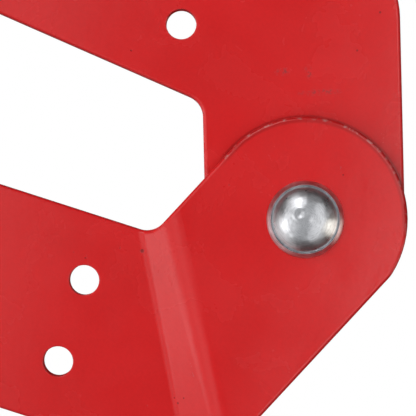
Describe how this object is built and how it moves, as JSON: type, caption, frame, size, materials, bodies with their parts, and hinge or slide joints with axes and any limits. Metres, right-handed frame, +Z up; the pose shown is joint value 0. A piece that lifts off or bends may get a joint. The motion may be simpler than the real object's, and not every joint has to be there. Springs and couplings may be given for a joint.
{
  "type": "screw-adjusted beam clamp",
  "caption": "Scissor-jaw lifting clamp of red painted steel plate that grips a beam flange, set by a hand-turned screw, with a headed load pin at its base.",
  "frame": {"origin": "centre of the load pin, half way between the front and rear plates", "axes": "+X across the beam flange towards the handle, +Y along the load pin, +Z up to the beam"},
  "size_m": [0.305, 0.0822, 0.2327],
  "materials": {
    "red_paint": "semi-gloss",
    "bright_steel": "polished",
    "zinc_steel": "satin",
    "thread_steel": "satin",
    "spring_steel": "satin"
  },
  "bodies": {
    "load_pin_body": {"load_pin": "bright_steel", "load_pin_washers": "bright_steel"},
    "outer_jaw": {"outer_jaw_front_plate": "red_paint", "outer_jaw_rear_plate": "red_paint", "outer_jaw_flange_shoe": "red_paint", "outer_jaw_tie_bar": "red_paint"},
    "inner_jaw": {"inner_jaw_front_plate": "red_paint", "inner_jaw_rear_plate": "red_paint", "inner_jaw_flange_shoe": "red_paint", "inner_jaw_tie_bar": "red_paint"},
    "left_nut": {"left_trunnion_nut": "zinc_steel", "left_trunnion_washers": "zinc_steel", "left_trunnion_circlips": "spring_steel"},
    "right_nut": {"right_trunnion_nut": "zinc_steel", "right_trunnion_washers": "zinc_steel", "right_trunnion_circlips": "spring_steel"},
    "spindle_carriage": {"spindle_end_washer": "zinc_steel"},
    "spindle_body": {"spindle": "thread_steel", "spindle_centre_collar": "zinc_steel", "spindle_collar_pin": "spring_steel", "spindle_end_circlip": "spring_steel", "handle_boss": "zinc_steel", "handle_boss_pin": "spring_steel"},
    "handle": {"handle_bar": "zinc_steel", "handle_cap_upper": "zinc_steel", "handle_cap_lower": "zinc_steel"}
  },
  "joints": [
    {"name": "outer_jaw_swing", "type": "hinge", "parent": "load_pin_body", "child": "outer_jaw", "pos_m": [0, 0, 0], "axis": [0, -1, 0], "range_deg": [-2.18, 26.18]},
    {"name": "inner_jaw_swing", "type": "hinge", "parent": "load_pin_body", "child": "inner_jaw", "pos_m": [0, 0, 0], "axis": [0, 1, 0], "range_deg": [-2.19, 26.19]},
    {"name": "left_nut_turn", "type": "hinge", "parent": "outer_jaw", "child": "left_nut", "pos_m": [-0.0613, 0, 0.12306], "axis": [0, -1, 0], "range_deg": [-26.19, 2.19]},
    {"name": "right_nut_turn", "type": "hinge", "parent": "inner_jaw", "child": "right_nut", "pos_m": [0.0613, 0, 0.12306], "axis": [0, 1, 0], "range_deg": [-26.19, 2.19]},
    {"name": "spindle_travel", "type": "slide", "parent": "right_nut", "child": "spindle_carriage", "axis": [-1, 0, 0], "range_m": [-0.00401, 0.04801]},
    {"name": "spindle_turn", "type": "hinge", "parent": "spindle_carriage", "child": "spindle_body", "pos_m": [-0.1298, 0, 0.12306], "axis": [1, 0, 0], "range_deg": [-361, 4321]},
    {"name": "handle_slide", "type": "slide", "parent": "spindle_body", "child": "handle", "axis": [0, 0, 1], "range_m": [0, 0.0758]}
  ],
  "couplings": [
    {"joint": "inner_jaw_swing", "follows": "outer_jaw_swing", "ratio": 1},
    {"joint": "left_nut_turn", "follows": "outer_jaw_swing", "ratio": -1},
    {"joint": "right_nut_turn", "follows": "outer_jaw_swing", "ratio": -1},
    {"joint": "spindle_travel", "follows": "outer_jaw_swing", "m_per_rad": 0.10506},
    {"joint": "spindle_turn", "follows": "outer_jaw_swing", "ratio": 165.02}
  ]
}
